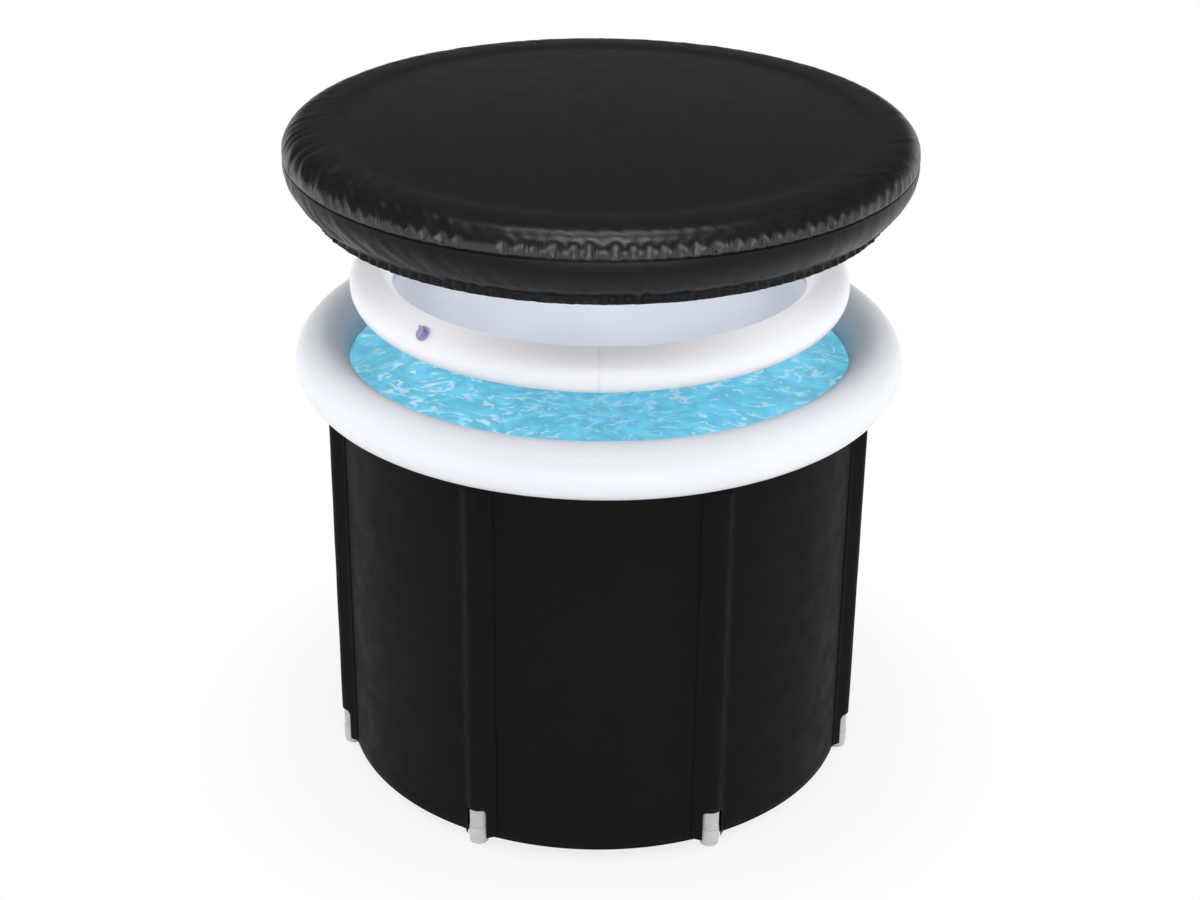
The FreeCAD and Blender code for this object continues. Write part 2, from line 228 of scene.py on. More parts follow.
class Finishes(PropertyGroup):
    """Colours of the finishes"""

    wall_black: FloatVectorProperty(
        name="Wall black", description="Coated cloth of the wall and sleeves",
        default=(0.0072, 0.0072, 0.0084), subtype="COLOR", min=0, max=1)
    cover_black: FloatVectorProperty(
        name="Cover black", description="Cloth of the cover",
        default=(0.0070, 0.0070, 0.0076), subtype="COLOR", min=0, max=1)
    rim_white: FloatVectorProperty(
        name="Rim white", description="Inflated vinyl of the rim",
        default=(0.81, 0.825, 0.865), subtype="COLOR", min=0, max=1)
    # The lid's white is the rim's vinyl painted lighter, as painted light for the lid in the cover's shade
    lid_white: FloatVectorProperty(
        name="Lid white", description="Inflated vinyl of the lid",
        default=(0.88, 0.89, 0.925), subtype="COLOR", min=0, max=1)
    sheet_light: FloatVectorProperty(
        name="Sheet light", description="Lid sheet where it lies flat",
        default=(0.70, 0.74, 0.82), subtype="COLOR", min=0, max=1)
    sheet_dark: FloatVectorProperty(
        name="Sheet dark", description="Lid sheet in its hollows",
        default=(0.57, 0.62, 0.73), subtype="COLOR", min=0, max=1)
    lining: FloatVectorProperty(
        name="Lining", description="Pale lining of the tub",
        default=(0.60, 0.66, 0.70), subtype="COLOR", min=0, max=1)
    foam: FloatVectorProperty(
        name="Foam", description="Foam under the floor sheet",
        default=(0.55, 0.56, 0.58), subtype="COLOR", min=0, max=1)
    lilac: FloatVectorProperty(
        name="Lilac", description="Soft plastic of the valves and plugs",
        default=(0.42, 0.37, 0.66), subtype="COLOR", min=0, max=1)
    pole_grey: FloatVectorProperty(
        name="Pole grey", description="Plastic of the poles and their feet",
        default=(0.50, 0.50, 0.51), subtype="COLOR", min=0, max=1)
    drain_black: FloatVectorProperty(
        name="Drain black", description="Moulded plastic of the drain",
        default=(0.012, 0.012, 0.013), subtype="COLOR", min=0, max=1)
    water_blue: FloatVectorProperty(
        name="Water blue", description="Clear bath water",
        default=(0.165, 0.55, 0.72), subtype="COLOR", min=0, max=1)
    water_glint: FloatVectorProperty(
        name="Water glint", description="Bright net of light on the water",
        default=(0.90, 0.93, 0.92), subtype="COLOR", min=0, max=1)


class StudioSettings(PropertyGroup):
    """Camera and lamps"""

    eye_distance: FloatProperty(
        name="Camera distance", description="Camera's distance in front of the tub",
        default=2.8886, unit="LENGTH")
    eye_height: FloatProperty(
        name="Camera height", description="Camera's height above the floor",
        default=1.8654, unit="LENGTH")
    eye_pitch: FloatProperty(
        name="Camera pitch", description="How far the camera looks down",
        default=math.radians(26.21), subtype="ANGLE")
    eye_roll: FloatProperty(
        name="Camera roll", description="How far the camera leans to one side",
        default=0.01006, subtype="ANGLE")
    lens: FloatProperty(
        name="Lens", description="Focal length of the camera", default=67.62, unit="CAMERA")
    shift: FloatProperty(
        name="Shift", description="Sideways shift of the lens", default=0.0016)
    key_power: FloatProperty(
        name="Key power", description="Softbox above the front", default=19, unit="POWER")
    fill_power: FloatProperty(
        name="Fill power", description="Wide lamp at the front", default=46, unit="POWER")
    side_power: FloatProperty(
        name="Side power", description="Each of the soft lamps at the sides", default=28, unit="POWER")
    top_power: FloatProperty(
        name="Top power", description="Narrow softbox straight above", default=9, unit="POWER")
    under_power: FloatProperty(
        name="Lid power", description="Small lamp that lights the lid under the cover",
        default=1.3, unit="POWER")
    ambient: FloatProperty(
        name="Ambient", description="Even light from all sides", default=0.42, min=0)


class BathSettings(PropertyGroup):
    """All the settings of the folding bath"""

    tub: PointerProperty(type=TubSizes)
    rings: PointerProperty(type=RingSizes)
    cover: PointerProperty(type=CoverSizes)
    finishes: PointerProperty(type=Finishes)
    studio: PointerProperty(type=StudioSettings)


def rgba(colour, level=1.0):
    return (colour[0] * level, colour[1] * level, colour[2] * level, 1.0)


class Nodes:
    """A node tree with short ways to add to it."""

    def __init__(self, tree):
        self.tree = tree

    def put(self, socket, value):
        if isinstance(value, bpy.types.NodeSocket):
            self.tree.links.new(value, socket)
        else:
            socket.default_value = value

    def add(self, kind, inputs=None, **settings):
        node = self.tree.nodes.new("ShaderNode" + kind)
        for setting, value in settings.items():
            setattr(node, setting, value)
        for socket, value in (inputs or {}).items():
            self.put(node.inputs[socket], value)
        return node

    def math(self, operation, *values):
        return self.add("Math", dict(enumerate(values)), operation=operation).outputs[0]

    def chain(self, operation, *values):
        """One operation, from each value on to the next."""
        result = values[0]
        for value in values[1:]:
            result = self.math(operation, result, value)
        return result

    def times(self, *values):
        return self.chain("MULTIPLY", *values)

    def from_half(self, value):
        """How far a value is from 0.5."""
        return self.math("ABSOLUTE", self.math("SUBTRACT", value, 0.5))

    def split(self, vector):
        return self.add("SeparateXYZ", {"Vector": vector}).outputs

    def remap(self, value, low, high, start, end):
        inputs = {"Value": value, "From Min": low, "From Max": high, "To Min": start, "To Max": end}
        return self.add("MapRange", inputs).outputs[0]

    def seen_directly(self):
        """1 where the camera, a reflection or a clear surface looks."""
        paths = self.add("LightPath").outputs
        return self.chain(
            "MAXIMUM", paths["Is Camera Ray"], paths["Is Glossy Ray"], paths["Is Transmission Ray"])


class Finish(Nodes):
    """A node material, put together around one Principled shader."""

    def __init__(self, name):
        self.material = bpy.data.materials.new(name)
        self.material.use_nodes = True
        super().__init__(self.material.node_tree)
        self.shader = self.tree.nodes["Principled BSDF"]
        self.place = self.add("TexCoord").outputs["Object"]

    def set(self, socket, value):
        self.put(self.shader.inputs[socket], value)

    def cloth_map(self):
        return self.add("UVMap", uv_map="cloth").outputs["UV"]

    def mix(self, share, first, second):
        return self.add("Mix", {0: share, 6: first, 7: second}, data_type="RGBA").outputs[2]

    def noise(self, scale, detail=2.0, vector=None, output="Fac"):
        inputs = {"Vector": vector or self.place, "Scale": scale, "Detail": detail}
        return self.add("TexNoise", inputs).outputs[output]

    def warped(self, scale, amount):
        """Object coordinates, pushed about by noise."""
        inputs = {0: self.noise(scale, output="Color"), 1: (amount, amount, amount), 2: self.place}
        return self.add("VectorMath", inputs, operation="MULTIPLY_ADD").outputs[0]

    def cloudy(self, colour, low, high, scale, detail=2.0):
        """A colour that drifts between two levels of brightness."""
        return self.mix(self.noise(scale, detail), rgba(colour, low), rgba(colour, high))

    def roughen(self, low, high, scale, detail=2.0):
        """Roughness that drifts between two values."""
        self.set("Roughness", self.remap(self.noise(scale, detail), 0.3, 0.7, low, high))

    def grain(self, height, scale, detail=2.0):
        """Heights of an uneven surface, in metres."""
        return self.times(self.noise(scale, detail), height)

    def weave(self, vector, pitch):
        """Height of a plain weave, from -1 to 1."""
        spots = self.split(vector)
        return self.times(*(self.math("SINE", self.times(spot, TURN / pitch)) for spot in spots[:2]))

    def stitches(self, line, pitch, width):
        """A row of stitches at a distance along the cloth."""
        stitch_share = 0.68
        around, along = self.split(self.cloth_map())[:2]
        row = self.math("COMPARE", along, line, width / 2)
        place = self.math("FRACT", self.math("DIVIDE", around, pitch))
        return self.times(row, self.math("LESS_THAN", place, stitch_share))

    def slits(self, seam, girth):
        """Narrow folds that run up from a gathered seam and fade out on the way."""
        folds_round, folds_along, patches_round = 78.0, 16.0, 9.0
        reach, full = 0.030, 0.008
        around, along = self.split(self.cloth_map())[:2]
        shifted = self.math("MODULO", self.math("ADD", around, girth / 2), girth)
        spots = {0: self.times(shifted, folds_round), 1: self.times(along, folds_along)}
        stretched = self.add("CombineXYZ", spots).outputs[0]
        narrow = self.remap(self.from_half(self.noise(1.0, 1.0, stretched)), 0.0, 0.08, 1.0, 0.0)
        patch = self.add("CombineXYZ", {0: self.times(shifted, patches_round)}).outputs[0]
        some = self.remap(self.noise(1.0, 2.0, patch), 0.42, 0.60, 0.15, 1.0)
        near = self.remap(along, seam - reach, seam - full, 0.0, 1.0)
        return self.times(narrow, some, near)

    def bump(self, *heights):
        """Relief from heights in metres."""
        inputs = {"Height": self.chain("ADD", *heights), "Distance": 1.0, "Strength": 1.0}
        self.set("Normal", self.add("Bump", inputs).outputs[0])


def once(maker):
    """Keeps one material for all the pieces that share a finish."""

    def kept(colours, *details):
        name = "_".join([maker.__name__, *(str(detail) for detail in details)]).replace(".", "p")
        if name not in bpy.data.materials:
            maker(Finish(name), colours, *details)
        return bpy.data.materials[name]

    return kept


@once
def coated_cloth(finish, colours):
    """Black vinyl-coated cloth with a fine weave under its coat."""
    finish.set("Base Color", finish.cloudy(colours.wall_black, 0.93, 1.08, scale=5.5, detail=3.0))
    finish.set("Specular IOR Level", 0.035)
    finish.roughen(0.46, 0.60, scale=31.0, detail=3.0)
    weave = finish.times(finish.weave(finish.cloth_map(), 0.0016), 1.1e-5)
    finish.bump(weave, finish.grain(2.5e-5, scale=420.0), finish.grain(6.0e-5, scale=11.0))


@once
def white_vinyl(finish, colours, part, girth, weld_share):
    """White inflated vinyl with a soft gloss and one weld across its tube."""
    # The lid's white is painted lighter than the rim's, as painted light under the cover
    white = colours.rim_white if part == "rim" else colours.lid_white
    share = finish.math("DIVIDE", finish.split(finish.cloth_map())[0], girth)
    turned = finish.math("FRACT", finish.math("ADD", share, 0.5 - weld_share))
    away = finish.times(finish.from_half(turned), girth)
    weld = finish.remap(away, 0.0008, 0.0028, 1.0, 0.0)
    plain = finish.cloudy(white, 0.97, 1.02, scale=4.0)
    finish.set("Base Color", finish.mix(weld, plain, rgba(white, 0.93)))
    finish.set("Specular IOR Level", 0.30)
    finish.set("Subsurface Weight", 0.12)
    finish.set("Subsurface Radius", (0.02, 0.02, 0.024))
    finish.set("Subsurface Scale", 0.2)
    finish.roughen(0.30, 0.40, scale=22.0, detail=3.0)
    fine = finish.grain(1.0e-5, scale=520.0, detail=1.0)
    waves = finish.grain(2.4e-4, scale=12.0)
    finish.bump(fine, waves, finish.times(weld, -1.0e-4))


@once
def lid_vinyl(finish, colours):
    """Thin blue-grey vinyl sheet with soft creases."""
    tone = finish.mix(finish.noise(7.0, detail=3.0), rgba(colours.sheet_dark), rgba(colours.sheet_light))
    finish.set("Base Color", tone)
    finish.set("Specular IOR Level", 0.30)
    finish.roughen(0.42, 0.52, scale=18.0)
    ridges = finish.from_half(finish.noise(6.0, vector=finish.warped(5.0, 0.10)))
    creases = finish.times(finish.remap(ridges, 0.0, 0.14, 1.0, 0.0), 5.0e-5)
    finish.bump(creases, finish.grain(1.2e-4, scale=14.0))


@once
def pale_lining(finish, colours):
    """Pale laminated lining with a faint weave."""
    finish.set("Base Color", finish.cloudy(colours.lining, 0.92, 1.06, scale=6.0, detail=3.0))
    finish.roughen(0.36, 0.48, scale=40.0)
    weave = finish.times(finish.weave(finish.cloth_map(), 0.0018), 1.6e-5)
    finish.bump(weave, finish.grain(3.0e-4, scale=20.0))


@once
def soft_foam(finish, colours):
    """Closed-cell foam."""
    cells = 900.0
    finish.set("Base Color", finish.cloudy(colours.foam, 0.85, 1.1, scale=cells))
    finish.set("Roughness", 0.9)
    finish.bump(finish.grain(2.0e-4, scale=cells))


@once
def cover_cloth(finish, colours, part):
    """Dense black cloth with a light sheen, its weave flat on the top and wrapped on the skirt; the skirt
    is painted darker as shade.
    """
    flat = part == "crown"
    # The skirt is the same cloth as the top, its colour painted darker (0.8) as painted shade
    level = 1.0 if flat else 0.8
    black = colours.cover_black
    threads = finish.weave(finish.place if flat else finish.cloth_map(), 0.0019)
    plain = finish.cloudy(black, 0.93 * level, 1.08 * level, scale=6.0, detail=4.0)
    tone = finish.mix(finish.remap(threads, -1.0, 1.0, 0.0, 0.3), plain, rgba(black, 1.6 * level))
    fine = finish.grain(2.0e-5, scale=350.0)
    waves = finish.grain(2.0e-4, scale=9.0)
    heights = [finish.times(threads, 2.2e-5), fine, waves]
    if flat:
        heights.append(finish.times(finish.slits(0.452, 2.67), -1.3e-3))
    else:
        tone = finish.mix(finish.stitches(0.0046, 0.0042, 0.0009), tone, rgba(black, 2.2))
    finish.set("Base Color", tone)
    finish.set("Specular IOR Level", 0.60 if flat else 0.14)
    finish.roughen(0.31, 0.40, scale=34.0, detail=3.0)
    finish.bump(*heights)


@once
def satin_plastic(finish, colours, part):
    """Grey satin plastic with a faint grain."""
    level = 1.08 if part == "foot" else 1.0
    grey = colours.pole_grey
    finish.set("Base Color", finish.cloudy(grey, 0.90 * level, 1.07 * level, scale=60.0, detail=4.0))
    finish.set("Specular IOR Level", 0.45)
    finish.roughen(0.36, 0.50, scale=140.0, detail=3.0)
    finish.bump(finish.grain(1.6e-5, scale=700.0))


@once
def soft_lilac(finish, colours):
    """Soft translucent lilac plastic."""
    finish.set("Base Color", finish.cloudy(colours.lilac, 0.92, 1.10, scale=120.0))
    finish.set("Transmission Weight", 0.18)
    finish.roughen(0.22, 0.34, scale=300.0)
    finish.bump(finish.grain(2.0e-5, scale=500.0))


@once
def moulded_black(finish, colours):
    """Black moulded plastic with a fine spark-eroded grain."""
    finish.set("Base Color", finish.cloudy(colours.drain_black, 0.85, 1.3, scale=80.0, detail=3.0))
    finish.set("Specular IOR Level", 0.32)
    finish.roughen(0.40, 0.54, scale=240.0, detail=3.0)
    finish.bump(finish.grain(2.0e-5, scale=1500.0))


@once
def sealing_rubber(finish, colours):
    """Matt black rubber."""
    finish.set("Base Color", finish.cloudy(colours.drain_black, 0.9, 1.6, scale=150.0, detail=3.0))
    finish.set("Specular IOR Level", 0.22)
    finish.roughen(0.68, 0.82, scale=400.0)
    finish.bump(finish.grain(3.0e-5, scale=1200.0))


@once
def bath_water(finish, colours):
    """Blue water with a painted net of light and painted light and shade on its ripples; it glows,
    strongly towards the camera and a little for all other rays.
    """
    bent = finish.warped(5.5, 0.16)
    strokes = finish.remap(finish.from_half(finish.noise(34.0, vector=bent)), 0.0, 0.055, 1.0, 0.0)
    broken = finish.remap(finish.noise(52.0, detail=1.0), 0.46, 0.58, 0.0, 1.0)
    choppy = finish.remap(finish.noise(4.2), 0.36, 0.60, 0.25, 1.0)
    calm = finish.remap(finish.split(finish.place)[0], -0.22, 0.30, 1.0, 0.45)
    # The glints are painted highlights, fewer where the water is drawn calm
    glint = finish.times(strokes, broken, choppy, calm)
    # Painted light and shade on the ripples: the blue goes lighter and darker in patches
    ripple_shading = finish.remap(finish.noise(40.0, vector=bent), 0.40, 0.62, 0.0, 1.0)
    blue = colours.water_blue
    lit_and_shaded_blue = finish.mix(ripple_shading, rgba(blue, 0.88), rgba(blue, 1.10))
    tone = finish.mix(glint, lit_and_shaded_blue, rgba(colours.water_glint))
    # The water glows as painted light, strongly for the camera and a little for other rays
    looked_at = finish.add("LightPath").outputs["Is Camera Ray"]
    finish.set("Base Color", tone)
    finish.set("Emission Color", tone)
    finish.set("Emission Strength", finish.remap(looked_at, 0.0, 1.0, 0.14, 0.66))
    finish.set("Roughness", 0.08)
    finish.set("Specular IOR Level", 0.25)
    finish.bump(finish.grain(1.0e-3, scale=30.0))


def smooth(share):
    """Eases shares from 0 to 1."""
    share = np.clip(share, 0, 1)
    return share * share * (3 - 2 * share)


def ripple(angle, level, scale, seed):
    """Smooth unevenness that closes on itself round the tub."""
    spots = np.broadcast(angle, level)
    values = [
        noise.noise((math.cos(turn) * scale, math.sin(turn) * scale, rise + seed)) for turn, rise in spots
    ]
    return np.array(values).reshape(spots.shape)


def polar(radius, angle, height):
    """Points at angles from the front, turning towards +X."""
    radius, angle, height = np.broadcast_arrays(radius, angle, height)
    return np.stack([radius * np.sin(angle), -radius * np.cos(angle), height], -1)


def columns_round(count):
    return (np.arange(count) * TURN / count)[:, None]


def once_round(angle, radius):
    """Lengths along a circle at each angle, and at the first one again after a full turn."""
    return np.append(angle.ravel(), angle[0, 0] + TURN) * radius


def wall_columns():
    """Angles round the wall, close together in the channels."""
    half = 0.072
    channel = 0.5 + np.linspace(-half, half, 36, endpoint=False)
    between = 0.5 + half + np.linspace(0, 1 - 2 * half, 32, endpoint=False)
    shares = np.sort(np.concatenate([channel, between]) % 1)
    return ((np.arange(POLES)[:, None] + shares) * STEP).reshape(-1, 1)


def from_pole(angle):
    """Angle to the nearest pole."""
    return np.abs(angle / STEP % 1 - 0.5) * STEP


def fluted(angle, inset, tub):
    """Wall radius, set in by a distance, with a round channel behind each pole."""
    hub = tub.wall_radius - tub.channel_blend
    pole = tub.pole_circle
    reach = tub.channel_radius + tub.channel_blend
    swing = math.acos((hub**2 + pole**2 - reach**2) / (2 * hub * pole))
    blend = tub.channel_blend - inset
    groove = tub.channel_radius + inset
    side = hub * math.sin(swing) / reach
    drop = (pole - hub * math.cos(swing)) / reach
    meet = math.atan2(side * groove, pole - drop * groove)
    off = from_pole(angle)
    turn = np.clip(swing - off, 0, None)
    shoulder = hub * np.cos(turn) + np.sqrt(np.clip(blend**2 - (hub * np.sin(turn)) ** 2, 0, None))
    channel = pole * np.cos(off) - np.sqrt(np.clip(groove**2 - (pole * np.sin(off)) ** 2, 0, None))
    return np.where(off < meet, channel, np.where(off < swing, shoulder, tub.wall_radius - inset))


def slack(angle, height, tub):
    """Soft creases of the wall between the poles."""
    sleeve_half, side_fade, end_fade = 0.030, 0.045, 0.06
    fold_pitch = 0.046
    between = smooth((from_pole(angle) * tub.wall_radius - sleeve_half) / side_fade)
    edges = smooth(np.minimum(height - tub.wall_foot, tub.wall_top - height) / end_fade)
    folds = np.sin(height * TURN / fold_pitch + 4 * ripple(angle, height * 2, scale=1.6, seed=5.3))
    broad = ripple(angle, height * 5, scale=2.6, seed=11.7)
    return between * edges * tub.crease * (folds + 3 * broad)


def sheet_mesh(points, around, along, wrap=True, close=False, cut=None):
    """A grid of cloth through points, with a UV map of its own lengths."""
    columns, rows = points.shape[:2]
    across = columns if wrap else columns - 1
    down = rows if close else rows - 1
    bm = bmesh.new()
    bmesh.ops.create_grid(bm, x_segments=across, y_segments=down, size=1)
    layer = bm.loops.layers.uv.new("cloth")
    bm.verts.index_update()
    corners = [(vert.co + Vector((1, 1, 0))) / 2 for vert in bm.verts]
    cells = [(round(corner.x * across), round(corner.y * down)) for corner in corners]
    spare = []
    for face in bm.faces:
        spots = [cells[loop.vert.index] for loop in face.loops]
        for loop, (column, row) in zip(face.loops, spots):
            loop[layer].uv = around[column], along[row]
        if cut and cut(*map(min, zip(*spots))):
            spare.append(face)
    for vert, (column, row) in zip(bm.verts, cells):
        vert.co = points[column % columns, row % rows]
    if spare:
        bmesh.ops.delete(bm, geom=spare, context="FACES")
    bmesh.ops.remove_doubles(bm, verts=bm.verts, dist=1e-6)
    bm.normal_update()
    return bm


def face_towards(bm, direction):
    """Turns the faces of an open sheet to look along a direction given at each point."""
    bm.normal_update()
    if sum(face.normal.dot(direction(face.calc_center_median())) for face in bm.faces) < 0:
        bmesh.ops.reverse_faces(bm, faces=bm.faces)
    return bm


def outwards(point):
    return Vector((point.x, point.y, 0)).normalized()


def inwards(point):
    return -outwards(point)


def upwards(point):
    return Vector((0, 0, 1))


def downwards(point):
    return Vector((0, 0, -1))


def lengths(points):
    """Running length along one line of points."""
    steps = np.linalg.norm(np.diff(points, axis=0), axis=1)
    return np.concatenate([[0], np.cumsum(steps)])


def round_sheet(points, angle, radius, facing):
    """A sheet that closes on itself round the tub, mapped by its own lengths."""
    bm = sheet_mesh(points, once_round(angle, radius), lengths(points[0]))
    return face_towards(bm, facing)


def tube_mesh(points, around, along):
    """A tube that closes on itself both ways."""
    bm = sheet_mesh(points, around, along, close=True)
    bmesh.ops.recalc_face_normals(bm, faces=bm.faces)
    return bm


def mesh_object(name, bm, finish):
    """Links a smooth-shaded object made from a mesh."""
    if not bm.faces:
        raise RuntimeError(f"{name} has no faces")
    for face in bm.faces:
        face.smooth = True
    mesh = bpy.data.meshes.new(name)
    bm.to_mesh(mesh)
    bm.free()
    mesh.materials.append(finish)
    made = bpy.data.objects.new(name, mesh)
    bpy.context.scene.collection.objects.link(made)
    return made


def piece(name, bm, finish, body, nodes, thickness=0.0):
    """Makes a finished piece of a mesh and fixes it to its body."""
    made = mesh_object(name, bm, finish)
    if thickness:
        wall = made.modifiers.new("Thickness", "SOLIDIFY")
        wall.thickness = thickness
        wall.offset = -1
    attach(made, body)
    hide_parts(*nodes)
    return made


def fold_with_wall(made):
    """Gives a piece of the wall a mesh of its own."""
    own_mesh(made)


def dress(finish, *nodes):
    """Gives CAD pieces their finish."""
    for node in nodes:
        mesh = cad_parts[node].data
        mesh.materials.clear()
        mesh.materials.append(finish)


def pierce(bm, spot, radius):
    """Opens a round hole through the wall for the drain's neck."""
    axis = outwards(spot)

    def off_axis(point):
        away = point - spot
        return away - axis * away.dot(axis)

    near = []
    for face in bm.faces:
        middle = face.calc_center_median()
        if middle.dot(axis) > 0 and off_axis(middle).length < radius:
            near.append(face)
    bmesh.ops.delete(bm, geom=near, context="FACES")
    for vert in bm.verts:
        away = off_axis(vert.co)
        if vert.co.dot(axis) > 0 and away.length < radius:
            vert.co += away.normalized() * (radius - away.length)


def wall_sheet(inset, tub, facing):
    """One sheet of the fluted wall, with the drain's hole."""
    angle = wall_columns()
    height = np.linspace(tub.wall_foot, tub.wall_top, WALL_ROWS)[None, :]
    points = polar(fluted(angle, inset, tub) + slack(angle, height, tub), angle, height)
    around = once_round(angle, tub.wall_radius)
    bm = face_towards(sheet_mesh(points, around, height.ravel()), facing)
    pierce(bm, (WASHER_LOW + WASHER_HIGH) / 2, DRAIN_HOLE)
    return bm


class BATH_OT_wall(Operator):
    """Build the fluted wall and its pale lining"""

    bl_idname = "folding_bath.wall"
    bl_label = "Wall and Lining"

    def execute(self, context):
        settings = context.scene.folding_bath
        tub = settings.tub
        wall = piece(
            "tub_wall", wall_sheet(0.0, tub, outwards), coated_cloth(settings.finishes),
            "tub", ["outer_skin", "wall_foam"], tub.wall_thickness)
        lining = piece(
            "tub_lining", wall_sheet(tub.wall_thickness + tub.lining, tub, inwards),
            pale_lining(settings.finishes), "tub", ["inner_liner"], tub.lining)
        fold_with_wall(wall)
        fold_with_wall(lining)
        return {"FINISHED"}


def pan_mesh(tub):
    """The base pan: a flat, a curved edge and a flange under the wall."""
    angle = wall_columns()
    brim = tub.wall_foot - tub.lining
    flat = tub.pan_flat * np.array([0, 0.3, 0.6, 0.8, 0.9, 0.96, 1.0])
    curve = np.linspace(0, math.pi / 2, 7)[1:]
    rise = tub.pan_rim - tub.pan_flat
    radius = np.append(flat, tub.pan_flat + rise * np.sin(curve))
    height = np.append(flat * 0, brim * (1 - np.cos(curve)))
    edge = fluted(angle, CLEARANCE, tub)
    flange = tub.pan_rim + (edge - tub.pan_rim) * np.array([0.25, 0.6, 1.0])
    pan = polar(radius[None, :], angle, height[None, :])
    points = np.concatenate([pan, polar(flange, angle, brim)], axis=1)
    return round_sheet(points, angle, tub.wall_radius, downwards)


def pad_mesh(tub):
    """The foam in the floor: a disc with rounded edges."""
    bm = bmesh.new()
    bmesh.ops.create_circle(bm, cap_ends=True, segments=96, radius=tub.pan_flat - PAD_ROUNDING)
    bmesh.ops.translate(bm, verts=bm.verts, vec=(0, 0, tub.lining + HAIRLINE))
    raised = bmesh.ops.extrude_face_region(bm, geom=bm.faces[:])["geom"]
    upper = [item for item in raised if isinstance(item, bmesh.types.BMVert)]
    bmesh.ops.translate(bm, verts=upper, vec=(0, 0, tub.wall_foot - tub.lining - CLEARANCE))
    bmesh.ops.recalc_face_normals(bm, faces=bm.faces)
    rims = [edge for edge in bm.edges if abs(edge.verts[0].co.z - edge.verts[1].co.z) < 1e-6]
    bmesh.ops.bevel(
        bm, geom=rims, offset=PAD_ROUNDING, offset_type="OFFSET", affect="EDGES", segments=3,
        profile=0.5, material=-1)
    return bm


def floor_mesh(tub):
    """The floor sheet, a little lumpy on its foam."""
    angle = wall_columns()
    lump = 0.0007
    shares = np.array([0, 0.08, 0.16, 0.25, 0.34, 0.43, 0.52, 0.61, 0.70, 0.78, 0.86, 0.93, 0.97, 1.0])
    radius = fluted(angle, tub.wall_thickness + tub.lining, tub) * shares
    lumps = lump * ripple(angle, shares * 3, scale=2.0, seed=21.0) * np.sin(shares * math.pi)
    points = polar(radius, angle, tub.wall_foot + tub.lining + lumps)
    return round_sheet(points, angle, tub.wall_radius, upwards)


class BATH_OT_base(Operator):
    """Build the base pan, the floor foam and the floor sheet"""

    bl_idname = "folding_bath.base"
    bl_label = "Base and Floor"

    def execute(self, context):
        settings = context.scene.folding_bath
        tub = settings.tub
        pan = piece(
            "base_sheet", pan_mesh(tub), coated_cloth(settings.finishes), "tub",
            ["base_panel"], tub.lining)
        pad = piece(
            "floor_pad", pad_mesh(tub), soft_foam(settings.finishes), "tub",
            ["floor_foam"])
        sheet = piece(
            "floor_sheet", floor_mesh(tub), pale_lining(settings.finishes), "tub",
            ["floor_liner"], tub.lining)
        return {"FINISHED"}


def sleeve_section(tub):
    """Half of a sleeve's section, from its crown over the pole to its weld."""
    pole = tub.pole_circle
    skin = tub.lining
    wall = tub.wall_radius + skin
    channel = tub.channel_radius + skin
    near = tub.sleeve_spread / tub.wall_radius
    far = (tub.sleeve_spread + tub.sleeve_weld) / tub.wall_radius
    leave = np.array([wall * math.sin(near), wall * math.cos(near)])
    away = leave - (0, pole)
    turn = math.pi / 2 - math.atan2(away[1], away[0]) - math.acos(channel / np.hypot(*away))
    turns = np.linspace(0, turn, 9)
    crown = np.stack([channel * np.sin(turns), pole + channel * np.cos(turns)], -1)
    touch = crown[-1]
    notch = (tub.notch_width / 2 - touch[0]) / (leave[0] - touch[0])
    line = [touch + (leave - touch) * share for share in (notch / 2, notch, (1 + notch) / 2, 1)]
    turns = np.linspace(near, far, 4)[1:]
    weld = np.stack([wall * np.sin(turns), wall * np.cos(turns)], -1)
    return np.concatenate([crown, line, weld])


